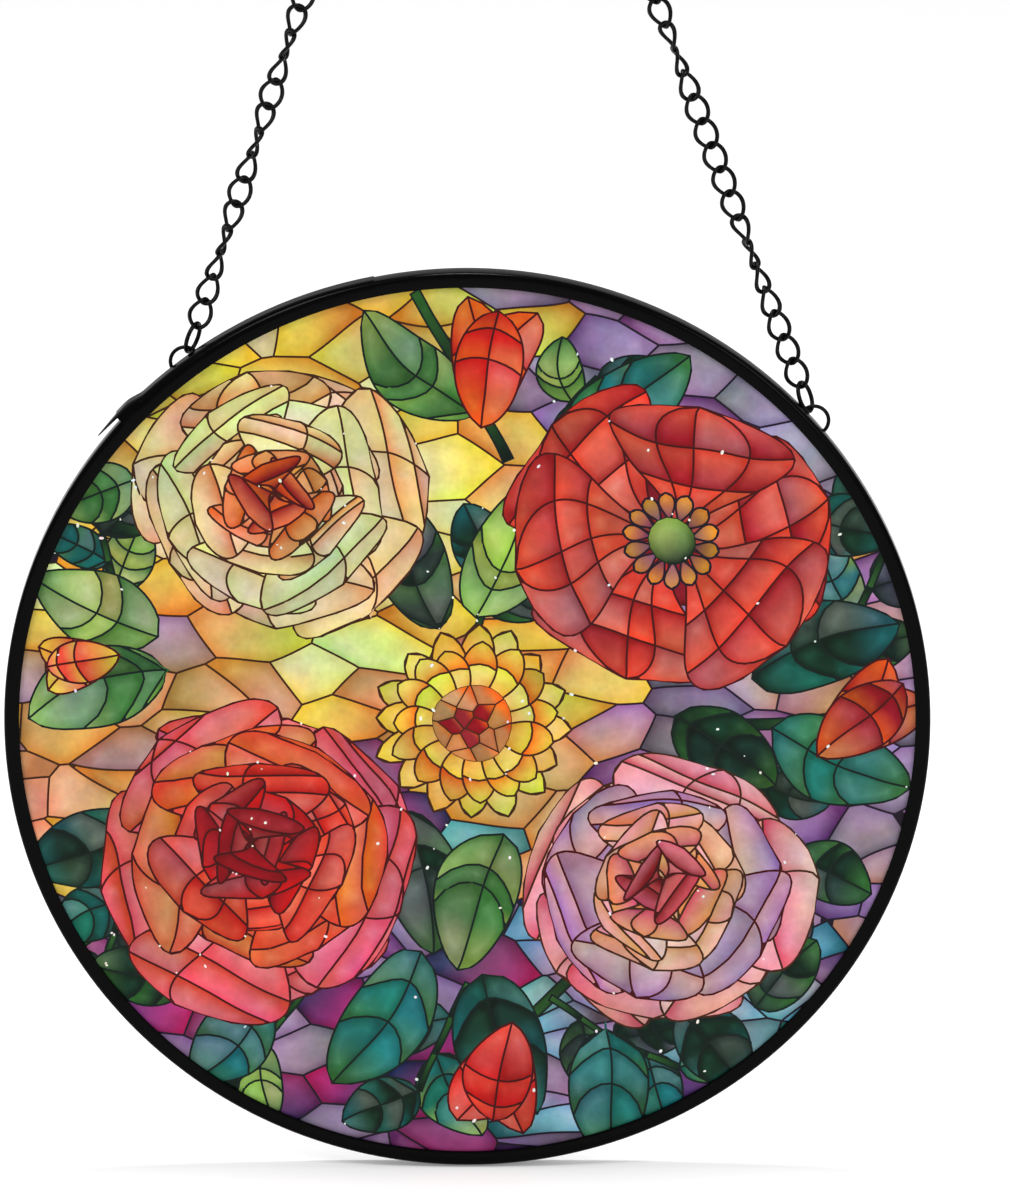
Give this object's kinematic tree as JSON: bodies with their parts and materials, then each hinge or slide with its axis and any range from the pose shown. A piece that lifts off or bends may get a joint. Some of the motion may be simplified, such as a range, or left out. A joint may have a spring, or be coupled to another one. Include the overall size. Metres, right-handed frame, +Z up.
{
  "type": "acrylic suncatcher",
  "caption": "Round printed acrylic suncatcher in a black channel rim, hung by a black twisted-link chain from two wire rings.",
  "frame": {"origin": "where the underside of the top chain link bears on its hook", "axes": "+Z up, the disc lies parallel to XZ and its picture faces -Y, +X is to the right of someone who looks at the picture"},
  "size_m": [0.1524, 0.0075, 0.2742],
  "materials": {
    "printed_acrylic": "clear acrylic disc printed with a stained-glass style flower picture, glossy",
    "black_enamel": "gloss black paint on thin bent metal",
    "black_wire": "blackened wire, satin"
  },
  "bodies": {
    "root": {"picture_disc": "printed_acrylic", "rim": "black_enamel", "left_lug": "black_wire", "right_lug": "black_wire", "left_chain": "black_wire", "right_chain": "black_wire", "top_link": "black_wire"}
  },
  "joints": []
}
